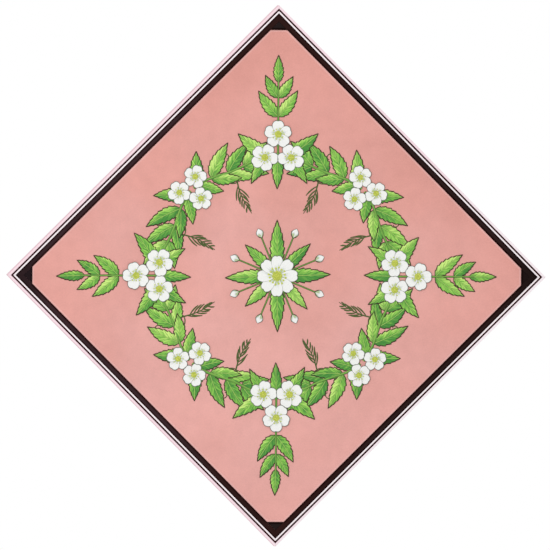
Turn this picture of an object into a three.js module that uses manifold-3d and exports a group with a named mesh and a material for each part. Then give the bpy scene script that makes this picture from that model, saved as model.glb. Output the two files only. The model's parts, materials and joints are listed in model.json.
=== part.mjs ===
import * as THREE from 'three';
import { mergeVertices } from 'three/addons/utils/BufferGeometryUtils.js';
import Module from 'manifold-3d';

const wasm = await Module();
wasm.setup();

// A square picture plaque that hangs on one of its corners. All sizes are in millimetres.
// Everything is drawn in the plaque's own frame: x to the right, y up, z out of the picture
// towards the viewer, with the middle of the back board's rear face at 0, 0, 0. One group at the
// end stands it up, so that z is up, the picture faces -y and the wall is the plane y = 0.

const plaque = { side: 305, thickness: 12, cornerTurn: Math.PI / 4 };
const joint = 0.05;

const edging = { width: 1.8 };
const board = { thickness: 8 };
const panel = { thickness: 3.25 };
const rail = { width: 7.375, lap: 2.5, outerLip: 1.25 };
const inlay = { width: 1.25, depth: 1 };
const cornerPiece = { fromMiddle: 196 };

// The strip hanger: its saw teeth point down and the plaque hangs on the notch between two of them
const hanger = {
  aboveMiddle: 150, length: 46, height: 8, plate: 0.9, standOff: 1.8, tab: 7, ramp: 2,
  toothPitch: 3.6, toothDepth: 1.8, teethEachSide: 3, holeRadius: 0.8, holeFromEnd: 3.2,
};
const nail = {
  shankRadius: 0.65, shankLength: 4.2, point: 0.8, headRadius: 1.5, headTop: 0.9, headHeight: 0.7,
  boreRadius: 0.75, boreDepth: 4.5,
};
const bumper = { radius: 5, height: 3, faceRadius: 4.2, shoulder: 2.1, fromMiddle: 178 };

// The picture is a low painted relief, about as high as the step from the panel to the rails
const panelFront = board.thickness + panel.thickness;
const relief = { edge: 0.4, ridge: 0.5, petal: 0.75, boss: 0.9 };
const ring = { radius: 94, wave: 3, waves: 8, stemWidth: 2.4, halfSpan: 44, steps: 6 };
const sprig = { reach: 158, stemWidth: 1.8 };
const rosette = { leaves: 8, start: 7, hub: 8.5, budRing: 37, budStem: 1.4, petals: 8, radius: 17 };
const bud = { radius: 3.2, stretch: 1.15, steps: 3, start: 0.08, span: 0.86, tip: 0.4 };
const blade = {
  steps: 6, stem: 0.9, tip: 0.25, tooth: 0.8, turnSpread: 6, lengthSpread: 0.12,
  fullness: 1.12, peak: 0.78, roundness: 0.8, taper: 0.25,
};
const quarter = 90;

// Leaves of one quarter, one entry per mirrored pair: where the root sits on the ring, measured
// from the quarter's middle line, where the leaf points, measured from straight outwards and
// away from that line, then length, width and sideways bend
const ringLeaves = [
  { at: 41, turn: -32, length: 27, width: 12.5, bend: -0.12 },
  { at: 41, turn: 210, length: 22, width: 11, bend: 0.12 },
  { at: 34.5, turn: -52, length: 30, width: 12.5, bend: -0.14 },
  { at: 34.5, turn: -130, length: 25, width: 11, bend: 0.14 },
  { at: 26, turn: -52, length: 28.5, width: 12.5, bend: -0.14 },
  { at: 26, turn: -130, length: 23.5, width: 11, bend: 0.14 },
  { at: 17.5, turn: -52, length: 27, width: 12.5, bend: -0.14 },
  { at: 17.5, turn: -130, length: 22, width: 11, bend: 0.14 },
  { at: 5, turn: 57, length: 30, width: 13, bend: -0.15 },
  { at: 4, turn: 132, length: 28, width: 11.5, bend: 0.15 },
];
const innerLeaf = { length: 29, width: 11 };
const sprigLeaves = [
  { from: 127, turn: 44, length: 27, width: 11.5, bend: -0.14 },
  { from: 142, turn: 40, length: 22, width: 10, bend: -0.14 },
];
const sprigTip = { from: 154, length: 22, width: 9.5 };
const centreLeaf = { long: 36, short: 29, longWidth: 13, shortWidth: 11 };

// Blossoms stand in threes: the distance of the first two from the middle of the ring line, the
// half angle between them, and the third one's distance
const squareTrio = { radius: 11.6, pairAt: 95, halfAngle: 6.4, singleAt: 113 };
const diagonalTrio = { radius: 9.8, pairAt: 103, halfAngle: 5, singleAt: 87 };
const blossom = { petals: 5, cleft: 0.62, shoulder: 0.95, tip: 1.02, eye: 0.26 };

const colours = {
  palePink: 0xf2d7de, black: 0x241b1e, white: 0xfbf7f6, ground: 0xe2a39d, plywood: 0xcda878,
  steel: 0xb4b4b2, rubber: 0x2b2b2d, leaf: 0x84af5a, petal: 0xebefe9,
};
const sides = ['upper_left', 'lower_left', 'lower_right', 'upper_right'];
const corners = ['top', 'left', 'bottom', 'right'];
const degree = Math.PI / 180;

function material(name, roughness = 0.7, metalness = 0) {
  return new THREE.MeshStandardMaterial({ color: colours[name], roughness, metalness });
}

// Closed three.js geometry to a solid, and back
function toSolid(geometry) {
  const bare = geometry.clone();
  bare.deleteAttribute('normal');
  bare.deleteAttribute('uv');
  const merged = mergeVertices(bare, 1e-5);
  return new wasm.Manifold(new wasm.Mesh({
    numProp: 3,
    vertProperties: merged.attributes.position.array,
    triVerts: new Uint32Array(merged.index.array),
  }));
}

function toGeometry(solid) {
  const mesh = solid.getMesh();
  const geometry = new THREE.BufferGeometry();
  geometry.setAttribute('position', new THREE.BufferAttribute(mesh.vertProperties, mesh.numProp));
  geometry.setIndex(new THREE.BufferAttribute(mesh.triVerts, 1));
  geometry.computeVertexNormals();
  return geometry;
}

function fuse(solids) {
  return solids.reduce((whole, piece) => whole.add(piece));
}

// A strip along one side of the square. The outline gives [distance from the middle, depth].
// At distance d a side is 2 d long, so each end vertex moves out to d and makes the mitre.
function mitredStrip(outline) {
  const profile = outline.map(([distance, depth]) => new THREE.Vector2(distance, depth));
  const shape = new THREE.Shape(profile);
  const geometry = new THREE.ExtrudeGeometry(shape, { depth: 1, bevelEnabled: false });
  const points = geometry.attributes.position;
  for (let i = 0; i < points.count; i += 1) {
    const distance = points.getX(i);
    const end = points.getZ(i) > 0.5 ? 1 : -1;
    points.setXYZ(i, end * (distance - joint), distance, points.getY(i));
  }
  geometry.computeVertexNormals();
  return geometry;
}

const edgeInner = plaque.side / 2 - edging.width;
const railOuter = edgeInner - joint;
const railInner = railOuter - rail.width;
const rebate = railInner + rail.lap;
const grooveOuter = railOuter - rail.outerLip;
const grooveInner = grooveOuter - inlay.width - 2 * joint;
const grooveFloor = plaque.thickness - inlay.depth;

function edgingStrip() {
  const outer = plaque.side / 2;
  return mitredStrip([
    [edgeInner, 0], [outer, 0], [outer, plaque.thickness], [edgeInner, plaque.thickness],
  ]);
}

// Laps over the picture panel inside and carries the groove for the white inlay in its face
function railStrip() {
  return mitredStrip([
    [rebate, board.thickness], [railOuter, board.thickness],
    [railOuter, plaque.thickness], [grooveOuter, plaque.thickness],
    [grooveOuter, grooveFloor], [grooveInner, grooveFloor],
    [grooveInner, plaque.thickness], [railInner, plaque.thickness],
    [railInner, panelFront], [rebate, panelFront],
  ]);
}

function inlayStrip() {
  return mitredStrip([
    [grooveInner + joint, grooveFloor], [grooveOuter - joint, grooveFloor],
    [grooveOuter - joint, plaque.thickness], [grooveInner + joint, plaque.thickness],
  ]);
}

// Triangle that fills one corner of the picture and lies on the panel
function cornerGeometry() {
  const apex = (railInner - joint) * Math.SQRT2;
  const half = apex - cornerPiece.fromMiddle;
  const shape = new THREE.Shape([
    new THREE.Vector2(-half, cornerPiece.fromMiddle),
    new THREE.Vector2(half, cornerPiece.fromMiddle),
    new THREE.Vector2(0, apex),
  ]);
  const height = plaque.thickness - panelFront;
  return new THREE.ExtrudeGeometry(shape, { depth: height, bevelEnabled: false });
}

function squareSheet(half, from, thickness) {
  const geometry = new THREE.BoxGeometry(2 * half, 2 * half, thickness);
  geometry.rotateZ(plaque.cornerTurn);
  geometry.translate(0, 0, from + thickness / 2);
  return geometry;
}

// Round bar along z
function roundBar(radius, from, to, x, y, facets = 10) {
  const geometry = new THREE.CylinderGeometry(radius, radius, to - from, facets);
  geometry.rotateX(Math.PI / 2);
  geometry.translate(x, y, (from + to) / 2);
  return geometry;
}

const nailPlaces = [-1, 1].map((side) => ({
  x: side * (hanger.length / 2 - hanger.holeFromEnd),
  y: hanger.aboveMiddle + hanger.height / 2,
}));

function boardGeometry() {
  let solid = toSolid(squareSheet(railOuter, 0, board.thickness));
  for (const { x, y } of nailPlaces) {
    solid = solid.subtract(toSolid(roundBar(nail.boreRadius, -1, nail.boreDepth, x, y)));
  }
  return toGeometry(solid);
}

// Bent strip: two tabs on the board, two ramps and a raised bar, with teeth cut in its lower edge
function hangerGeometry() {
  const half = hanger.length / 2;
  const bendOut = half - hanger.tab;
  const bendIn = bendOut - hanger.ramp;
  const near = hanger.standOff;
  const far = near + hanger.plate;
  const profile = new THREE.Shape([
    [-half, 0], [-bendOut, 0], [-bendIn, near], [bendIn, near], [bendOut, 0], [half, 0],
    [half, hanger.plate], [bendOut, hanger.plate], [bendIn, far], [-bendIn, far],
    [-bendOut, hanger.plate], [-half, hanger.plate],
  ].map(([x, depth]) => new THREE.Vector2(x, depth)));
  const strip = new THREE.ExtrudeGeometry(profile, {
    depth: hanger.height + hanger.toothDepth, bevelEnabled: false,
  });
  strip.rotateX(-Math.PI / 2);
  strip.translate(0, hanger.aboveMiddle - hanger.toothDepth, 0);

  const clear = half + 1;
  const below = -hanger.toothDepth - 1;
  const cut = [[-clear, 0], [-clear, below], [clear, below], [clear, 0]];
  for (let tooth = hanger.teethEachSide; tooth > -hanger.teethEachSide; tooth -= 1) {
    cut.push([tooth * hanger.toothPitch, 0]);
    cut.push([(tooth - 0.5) * hanger.toothPitch, -hanger.toothDepth]);
  }
  cut.push([-hanger.teethEachSide * hanger.toothPitch, 0]);
  const notches = new THREE.ExtrudeGeometry(
    new THREE.Shape(cut.map(([x, y]) => new THREE.Vector2(x, hanger.aboveMiddle + y))),
    { depth: far + 2, bevelEnabled: false },
  );
  notches.translate(0, 0, -far - 1);

  let solid = toSolid(strip).subtract(toSolid(notches));
  for (const { x, y } of nailPlaces) {
    solid = solid.subtract(toSolid(roundBar(hanger.holeRadius, -2 * far, far, x, y)));
  }
  return toGeometry(solid);
}

// Shank in the board's bore, head on the hanger's tab
function nailGeometry() {
  const face = -hanger.plate;
  const profile = [
    [0, face - nail.headHeight], [nail.headTop, face - nail.headHeight],
    [nail.headRadius, face - nail.headHeight / 2], [nail.headRadius, face],
    [nail.shankRadius, face], [nail.shankRadius, nail.shankLength - nail.point],
    [0, nail.shankLength],
  ];
  return latheAlongZ(profile, 10);
}

function bumperGeometry() {
  return latheAlongZ([
    [0, -bumper.height], [bumper.faceRadius, -bumper.height], [bumper.radius, -bumper.shoulder],
    [bumper.radius, 0], [0, 0],
  ], 16);
}

// Turned piece: the profile gives [radius, z]
function latheAlongZ(profile, facets) {
  const geometry = new THREE.LatheGeometry(profile.map(([r, z]) => new THREE.Vector2(r, z)), facets);
  geometry.rotateX(Math.PI / 2);
  return geometry;
}

// A value between 0 and 1 that looks random but is always the same for the same number
function scatter(number) {
  const value = Math.sin(number * 12.9898) * 43758.5453;
  return value - Math.floor(value);
}

function polar(radius, angle) {
  return new THREE.Vector2(radius * Math.cos(angle * degree), radius * Math.sin(angle * degree));
}

// The ring line swings in and out by the wave, outermost at the middle of each quarter
function ringPoint(angle) {
  return polar(ring.radius + ring.wave * Math.cos(ring.waves * angle * degree), angle);
}

// A strip on the panel with a ridge along its middle: five points at each station, the bottom
// and top of both edges and the ridge, joined into a closed skin
function ridgedStrip(line, halfWidths, ridge = relief.ridge) {
  const edge = relief.edge;
  const positions = [];
  const faces = [];
  const last = line.length - 1;
  line.forEach((point, i) => {
    const ahead = line[Math.min(i + 1, last)];
    const behind = line[Math.max(i - 1, 0)];
    const along = ahead.clone().sub(behind).normalize();
    const across = new THREE.Vector2(-along.y, along.x).multiplyScalar(halfWidths[i]);
    const left = point.clone().add(across);
    const right = point.clone().sub(across);
    positions.push(left.x, left.y, 0, left.x, left.y, edge, point.x, point.y, ridge);
    positions.push(right.x, right.y, edge, right.x, right.y, 0);
  });
  for (let i = 0; i < last; i += 1) {
    for (let side = 0; side < 5; side += 1) {
      const a = 5 * i + side;
      const b = 5 * i + ((side + 1) % 5);
      faces.push(a, b, a + 5, b, b + 5, a + 5);
    }
  }
  const end = 5 * last;
  for (let side = 1; side < 4; side += 1) {
    faces.push(0, side + 1, side, end, end + side, end + side + 1);
  }
  return solidOf(positions, faces);
}

function solidOf(positions, faces) {
  return new wasm.Manifold(new wasm.Mesh({
    numProp: 3, vertProperties: new Float32Array(positions), triVerts: new Uint32Array(faces),
  }));
}

// Leaf: its width swells early, tapers to the tip and steps in at every second station as teeth;
// the midrib bends sideways with the square of the distance
let leafNumber = 0;
function leaf(root, direction, length, width, bend) {
  leafNumber += 1;
  const heading = (direction + blade.turnSpread * (scatter(leafNumber) - 0.5)) * degree;
  const reach = length * (1 + blade.lengthSpread * (scatter(leafNumber + 49) - 0.5));
  const line = [];
  const halfWidths = [];
  for (let i = 0; i <= blade.steps; i += 1) {
    const u = i / blade.steps;
    const rib = new THREE.Vector2(reach * u, bend * reach * u * u);
    line.push(rib.rotateAround(new THREE.Vector2(), heading).add(root));
    const lobe = Math.sin(Math.PI * u ** blade.peak) ** blade.roundness;
    const swell = blade.fullness * lobe * (1 - blade.taper * u);
    const tooth = i % 2 === 0 ? blade.tooth : 1;
    const least = i === blade.steps ? blade.tip : blade.stem;
    halfWidths.push(Math.max(width / 2 * swell * tooth, least));
  }
  return ridgedStrip(line, halfWidths);
}

// Stems are flat, as high as the edge of a leaf
function stem(points, width) {
  return ridgedStrip(points, points.map(() => width / 2), relief.edge);
}

// One quarter of the wreath, with its sprig to the plaque's corner, fused in one piece
function wreathQuarter(middle) {
  const arc = [];
  for (let step = -ring.steps; step <= ring.steps; step += 1) {
    arc.push(ringPoint(middle + step / ring.steps * ring.halfSpan));
  }
  const pieces = [
    stem(arc, ring.stemWidth),
    stem([ringPoint(middle), polar(sprig.reach, middle)], sprig.stemWidth),
  ];
  for (const side of [1, -1]) {
    for (const { at, turn, length, width, bend } of ringLeaves) {
      const angle = middle + side * at;
      pieces.push(leaf(ringPoint(angle), angle + side * turn, length, width, side * bend));
    }
    for (const { from, turn, length, width, bend } of sprigLeaves) {
      pieces.push(leaf(polar(from, middle), middle + side * turn, length, width, side * bend));
    }
  }
  pieces.push(leaf(ringPoint(middle), middle + 180, innerLeaf.length, innerLeaf.width, 0));
  pieces.push(leaf(polar(sprigTip.from, middle), middle, sprigTip.length, sprigTip.width, 0));
  return toGeometry(fuse(pieces));
}

// A flat flower: rim, then a ring round the eye, then the top of the eye. In each petal the rim's
// radius goes through the cleft, two shoulders and the two halves of the tip.
function flower(centre, radius, turn, petals = blossom.petals) {
  const radii = [blossom.cleft, blossom.shoulder, blossom.tip, blossom.tip, blossom.shoulder];
  const count = petals * radii.length;
  const positions = [centre.x, centre.y, relief.ridge, centre.x, centre.y, relief.boss];
  const faces = [];
  for (let i = 0; i < count; i += 1) {
    const angle = turn + (i / radii.length - 0.5) * 360 / petals;
    const rim = polar(radius * radii[i % radii.length], angle).add(centre);
    const eye = polar(radius * blossom.eye, angle).add(centre);
    positions.push(rim.x, rim.y, relief.ridge, rim.x, rim.y, relief.petal, eye.x, eye.y, relief.petal);
    const a = 2 + 3 * i;
    const b = 2 + 3 * ((i + 1) % count);
    faces.push(0, b, a, a, b, b + 1, a, b + 1, a + 1);
    faces.push(a + 1, b + 1, b + 2, a + 1, b + 2, a + 2, a + 2, b + 2, 1);
  }
  return solidOf(positions, faces);
}

// Three flowers, each with a cleft towards the middle of the three, so that their petals meet
function trio(middle, { radius, pairAt, halfAngle, singleAt }) {
  const places = [
    polar(pairAt, middle + halfAngle), polar(pairAt, middle - halfAngle), polar(singleAt, middle),
  ];
  const heart = places[0].clone().add(places[1]).add(places[2]).divideScalar(places.length);
  const flowers = places.map((place) => {
    const inwards = heart.clone().sub(place).angle() / degree;
    return flower(place, radius, inwards + 180 / blossom.petals);
  });
  return toGeometry(fuse(flowers));
}

// Star of leaves with a bud on a thin stem in each gap
function centreStar() {
  const pieces = [];
  const step = 360 / rosette.leaves;
  for (let k = 0; k < rosette.leaves; k += 1) {
    const angle = step * k;
    const long = k % 2 === 0;
    const length = long ? centreLeaf.long : centreLeaf.short;
    const width = long ? centreLeaf.longWidth : centreLeaf.shortWidth;
    pieces.push(leaf(polar(rosette.start, angle), angle, length, width, 0));
    const gap = angle + step / 2;
    pieces.push(stem([polar(rosette.start, gap), polar(rosette.budRing, gap)], rosette.budStem));
    pieces.push(closedBud(polar(rosette.budRing, gap), gap));
  }
  pieces.push(toSolid(roundBar(rosette.hub, 0, relief.edge, 0, 0, rosette.leaves)));
  return toGeometry(fuse(pieces));
}

function closedBud(place, direction) {
  const line = [];
  const halfWidths = [];
  for (let i = 0; i <= bud.steps; i += 1) {
    const u = i / bud.steps;
    const bulge = Math.sin(Math.PI * (bud.start + bud.span * u));
    line.push(polar(bud.radius * bud.stretch * (2 * u - 1), direction).add(place));
    halfWidths.push(Math.max(bud.radius * bulge, bud.tip));
  }
  return ridgedStrip(line, halfWidths);
}

const front = new THREE.Group();
const frame = new THREE.Group();
const back = new THREE.Group();

function add(group, name, geometry, finish) {
  const mesh = new THREE.Mesh(geometry, finish);
  mesh.name = name;
  group.add(mesh);
  return mesh;
}

add(back, 'back_board', boardGeometry(), material('plywood', 0.75));
const panelSheet = squareSheet(rebate - joint, board.thickness, panel.thickness);
add(frame, 'picture_panel', panelSheet, material('ground', 0.8));

sides.forEach((side, k) => {
  const turn = plaque.cornerTurn + k * Math.PI / 2;
  add(frame, `edging_${side}`, edgingStrip(), material('palePink', 0.8)).rotation.z = turn;
  add(frame, `rail_${side}`, railStrip(), material('black', 0.5)).rotation.z = turn;
  add(frame, `inlay_${side}`, inlayStrip(), material('white', 0.5)).rotation.z = turn;
});
corners.forEach((corner, k) => {
  const piece = add(frame, `corner_${corner}`, cornerGeometry(), material('black', 0.5));
  piece.rotation.z = k * Math.PI / 2;
  piece.position.z = panelFront;
});

add(back, 'hanger', hangerGeometry(), material('steel', 0.35, 1));
['left', 'right'].forEach((side, k) => {
  const { x, y } = nailPlaces[k];
  add(back, `hanger_nail_${side}`, nailGeometry(), material('steel', 0.35, 1)).position.set(x, y, 0);
});
corners.slice(1).forEach((corner, k) => {
  const spot = polar(bumper.fromMiddle, 2 * quarter + k * quarter);
  add(back, `bumper_${corner}`, bumperGeometry(), material('rubber', 0.9)).position.set(spot.x, spot.y, 0);
});

front.position.z = panelFront;
corners.forEach((corner, k) => {
  add(front, `wreath_${corner}`, wreathQuarter(quarter + k * quarter), material('leaf'));
});
corners.forEach((corner, k) => {
  add(front, `blossoms_${corner}`, trio(quarter + k * quarter, squareTrio), material('petal'));
});
sides.forEach((side, k) => {
  const middle = quarter * 1.5 + k * quarter;
  add(front, `blossoms_${side}`, trio(middle, diagonalTrio), material('petal'));
});
add(front, 'centre_leaves', centreStar(), material('leaf'));
const centreFlower = flower(new THREE.Vector2(), rosette.radius, quarter, rosette.petals);
add(front, 'centre_blossom', toGeometry(centreFlower), material('petal'));

const part = new THREE.Group();
part.add(back, frame, front);
part.rotation.x = Math.PI / 2;
part.position.set(0, -bumper.height, -hanger.aboveMiddle);

const object = new THREE.Group();
object.add(part);

export default object;
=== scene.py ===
import json
import math
from functools import partial, reduce

import bmesh
import bpy
import numpy as np
from mathutils import Matrix, Vector

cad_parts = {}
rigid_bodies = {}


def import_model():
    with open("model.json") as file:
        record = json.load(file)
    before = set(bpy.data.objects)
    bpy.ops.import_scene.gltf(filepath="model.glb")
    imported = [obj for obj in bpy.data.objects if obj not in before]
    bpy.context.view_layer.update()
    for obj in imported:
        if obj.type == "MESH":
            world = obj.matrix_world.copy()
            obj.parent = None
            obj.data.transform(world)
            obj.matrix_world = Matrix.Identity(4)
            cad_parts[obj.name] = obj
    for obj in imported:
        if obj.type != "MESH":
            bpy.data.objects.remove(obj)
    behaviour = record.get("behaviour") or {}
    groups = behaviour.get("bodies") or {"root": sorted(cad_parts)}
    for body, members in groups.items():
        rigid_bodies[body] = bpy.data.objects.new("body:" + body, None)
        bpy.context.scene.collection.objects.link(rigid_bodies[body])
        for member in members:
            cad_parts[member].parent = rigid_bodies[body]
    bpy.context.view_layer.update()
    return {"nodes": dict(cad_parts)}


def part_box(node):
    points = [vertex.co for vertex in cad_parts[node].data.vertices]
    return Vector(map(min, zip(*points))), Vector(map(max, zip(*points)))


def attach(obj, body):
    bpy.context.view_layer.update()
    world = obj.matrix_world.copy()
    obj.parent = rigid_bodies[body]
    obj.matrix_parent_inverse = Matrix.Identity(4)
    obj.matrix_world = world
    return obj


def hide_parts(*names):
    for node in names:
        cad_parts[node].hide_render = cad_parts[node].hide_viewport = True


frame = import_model()

# The picture frame used below: across to the right and up from the middle of the picture, and
# proud, the height above the picture panel's front, all in millimetres
mm = 0.001
degree = math.pi / 180
panelLow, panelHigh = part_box("picture_panel")
railLow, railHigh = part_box("rail_upper_left")
middleX = (panelLow.x + panelHigh.x) / 2
middleZ = (panelLow.z + panelHigh.z) / 2
panelFront = panelLow.y
railProud = (panelFront - railLow.y) / mm
railBack = (panelFront - railHigh.y) / mm
backProud = (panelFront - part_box("back_board")[1].y) / mm

sides = ["upper_left", "lower_left", "lower_right", "upper_right"]
corners = ["top", "left", "bottom", "right"]
creaseAngle = 40 * degree  # edges that turn by more stay sharp


def srgb(red, green, blue):
    # screen colour from 0 to 255 to linear light
    parts = np.array([red, green, blue]) / 255
    linear = np.where(parts <= 0.04045, parts / 12.92, ((parts + 0.055) / 1.055) ** 2.4)
    return (*linear.tolist(), 1.0)


# Shader building: each helper finds the node tree through the sockets or the node it is given

def feed(made, inputs):
    # links sockets and sets plain values
    for socket, value in inputs.items():
        if isinstance(value, bpy.types.NodeSocket):
            made.id_data.links.new(value, made.inputs[socket])
        else:
            made.inputs[socket].default_value = value


def node(tree, kind, inputs=None, **settings):
    made = tree.nodes.new("ShaderNode" + kind)
    for key, value in settings.items():
        setattr(made, key, value)
    feed(made, inputs or {})
    return made


def calc(operation, first, second=0.0):
    tree = (first if isinstance(first, bpy.types.NodeSocket) else second).id_data
    return node(tree, "Math", {0: first, 1: second}, operation=operation).outputs[0]


times, plus, less, absolute = [partial(calc, operation) for operation in
                               ("MULTIPLY", "ADD", "SUBTRACT", "ABSOLUTE")]


def weighted(weights, *values):
    # the sum of the values, each times its weight
    return reduce(plus, [times(value, weight) for value, weight in zip(values, weights)])


def ease(value, low, high):
    # 0 below low, 1 above high and smooth between them; the other way round where low is larger
    return node(value.id_data, "MapRange", {"Value": value, "From Min": low, "From Max": high},
                interpolation_type="SMOOTHSTEP").outputs[0]


def blend(amount, first, second):
    return node(amount.id_data, "Mix", {0: amount, 6: first, 7: second}, data_type="RGBA").outputs[2]


def layer(colour, value, over, span=None, share=1.0):
    # lays a colour over another one by its share, where the value has come through the span; with
    # no span the value is the mask itself
    mask = ease(value, *span) if span else value
    return blend(mask if share == 1.0 else times(mask, share), colour, over)


def scaleColour(colour, value):
    colour = colour[:3] if isinstance(colour, tuple) else colour
    made = node(value.id_data, "VectorMath", {0: colour, "Scale": value}, operation="SCALE")
    return made.outputs[0]


def noise(vector, scale, detail=2.0, **inputs):
    inputs = {"Vector": vector, "Scale": scale, "Detail": detail, **inputs}
    return node(vector.id_data, "TexNoise", inputs).outputs[0]


def mapped(vector, **inputs):
    return node(vector.id_data, "Mapping", {"Vector": vector, **inputs}).outputs[0]


def split(vector):
    return node(vector.id_data, "SeparateXYZ", {0: vector}).outputs


def combined(first, second, third):
    return node(first.id_data, "CombineXYZ", {0: first, 1: second, 2: third}).outputs[0]


def attribute(coords, name):
    return node(coords.id_data, "Attribute", attribute_name=name).outputs["Fac"]


def uvMap(coords, name):
    return node(coords.id_data, "UVMap", uv_map=name).outputs[0]


def newMaterial(name):
    # the material and the object's own coordinates
    material = bpy.data.materials.new(name)
    material.use_nodes = True
    return material, node(material.node_tree, "TexCoord").outputs["Object"]


def coat(material, colour, height, roughness, depth, specular=0.2, strength=0.5, metallic=0.0):
    # the surface's colour and gloss, and a fine relief of the given depth in metres
    tree = material.node_tree
    bump = node(tree, "Bump", {"Height": height, "Distance": depth, "Strength": strength})
    feed(tree.nodes["Principled BSDF"], {
        "Base Color": colour, "Roughness": roughness, "Specular IOR Level": specular,
        "Metallic": metallic, "Normal": bump.outputs[0],
    })
    return material


def makeGroup(name, inputs, build):
    # inputs by name: None for a vector, otherwise the number that it starts with; build makes the
    # outputs, by name too, from the group's input sockets
    group = bpy.data.node_groups.new(name, "ShaderNodeTree")
    for label, value in inputs.items():
        kind = "NodeSocketVector" if value is None else "NodeSocketFloat"
        socket = group.interface.new_socket(label, in_out="INPUT", socket_type=kind)
        if value is not None:
            socket.default_value = value
    outputs = build(group.nodes.new("NodeGroupInput").outputs)
    for label in outputs:
        group.interface.new_socket(label, in_out="OUTPUT", socket_type="NodeSocketFloat")
    feed(group.nodes.new("NodeGroupOutput"), outputs)
    return group


def brushedPaint(inputs):
    # Tone is 1 + 4 * ((clouds + patches / 2 - 0.75) * cloud amount + (grain - 0.5) * grain amount),
    # with patches six times finer than the clouds
    cloud = noise(inputs["Vector"], inputs["Cloud Scale"], 3.0)
    patch = noise(inputs["Vector"], times(inputs["Cloud Scale"], 6.0))
    grain = noise(inputs["Vector"], inputs["Grain Scale"])
    broad = times(less(plus(cloud, times(patch, 0.5)), 0.75), inputs["Cloud Amount"])
    fine = times(less(grain, 0.5), inputs["Grain Amount"])
    return {"Tone": plus(times(plus(broad, fine), 4.0), 1.0), "Grain": grain}


def inkOutline(inputs):
    # Mask is 1 where Distance from the edge is under Width, with a slight wobble
    swing = times(less(noise(inputs["Vector"], 420.0, 1.0), 0.5), 0.45)
    away = plus(inputs["Distance"], times(swing, inputs["Width"]))
    return {"Mask": ease(away, inputs["Width"], times(inputs["Width"], 0.75))}


def woodGrain(inputs):
    # long grain along the vector's x: noise bands stretched 17 times, and short pores
    drawn = mapped(inputs["Vector"], Scale=(0.06, 1.0, 1.0))
    band = noise(drawn, inputs["Scale"], 5.0, Roughness=0.6, Distortion=0.5)
    pore = noise(drawn, times(inputs["Scale"], 34.0))
    return {"Band": band, "Pore": ease(pore, 0.56, 0.7)}


paintGroup = makeGroup("brushedPaint", {
    "Vector": None, "Cloud Scale": 14.0, "Cloud Amount": 0.05,
    "Grain Scale": 1600.0, "Grain Amount": 0.03,
}, brushedPaint)
inkGroup = makeGroup("inkOutline", {"Vector": None, "Distance": 1.0, "Width": 0.4}, inkOutline)
woodGroup = makeGroup("woodGrain", {"Vector": None, "Scale": 60.0}, woodGrain)


def useGroup(group, coords, inputs):
    return node(coords.id_data, "Group", {"Vector": coords, **inputs}, node_tree=group).outputs


def brushed(coords, cloud, grain):
    # cloud and grain are each a scale and an amount
    return useGroup(paintGroup, coords, {
        "Cloud Scale": cloud[0], "Cloud Amount": cloud[1],
        "Grain Scale": grain[0], "Grain Amount": grain[1],
    })


def painted(material, coords, colour, relief, cloud, grain, **gloss):
    # a coat of brushed paint: its tone varies the colour and its grain adds to the relief
    tone = brushed(coords, cloud, grain)
    height = tone["Grain"] if relief is None else plus(relief, tone["Grain"])
    return coat(material, scaleColour(colour, tone["Tone"]), height, **gloss)


def inked(coords, colour, look):
    # the colour with an outline along the rim, in the look's ink
    inputs = {"Distance": attribute(coords, "rim"), "Width": look["inkWidth"]}
    return layer(colour, useGroup(inkGroup, coords, inputs)["Mask"], *look["ink"])


# Camera, light and floor

camera = {
    "azimuth": -6.62, "elevation": 1.55, "roll": 0.41, "distance": 12.0, "lens": 986.0,
    "sensor": 36.0, "right": -1.66, "up": 0.83, "farEnd": 100.0,
}
light = {
    "world": 0.53, "keyPower": 34.5, "keySize": 1.4, "keyPlace": (-1.3, -2.2, 1.3),
    "fillPower": 14.0, "fillSize": 1.6, "fillPlace": (1.2, 2.0, 0.9),
}
floor = {"below": 0.6, "radius": 4.0, "facets": 96, "colour": srgb(250, 249, 248), "roughness": 0.9}


def linked(name, data):
    made = bpy.data.objects.new(name, data)
    bpy.context.collection.objects.link(made)
    return made


def aimed(name, data, location, turn):
    made = linked(name, data)
    made.location = location
    made.rotation_mode = "QUATERNION"
    made.rotation_quaternion = turn
    return made


def makeCamera():
    # looks along the line that azimuth and elevation give, at a point right and up of the middle
    turn, rise, lean = [camera[key] * degree for key in ("azimuth", "elevation", "roll")]
    flat = math.cos(rise)
    view = np.array([-math.sin(turn) * flat, math.cos(turn) * flat, -math.sin(rise)])
    right = np.array([math.cos(turn), math.sin(turn), 0.0])
    up = np.cross(right, view)
    aside = (camera["right"] * right + camera["up"] * up) * mm
    location = np.array([middleX, panelFront, middleZ]) + aside - camera["distance"] * view
    axisX = math.cos(lean) * right + math.sin(lean) * up
    axes = np.stack([axisX, np.cross(-view, axisX), -view], axis=1)
    data = bpy.data.cameras.new("camera")
    data.lens, data.sensor_width, data.clip_end = camera["lens"], camera["sensor"], camera["farEnd"]
    turn = Matrix(axes.tolist()).to_quaternion()
    bpy.context.scene.camera = aimed("camera", data, location, turn)


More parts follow.
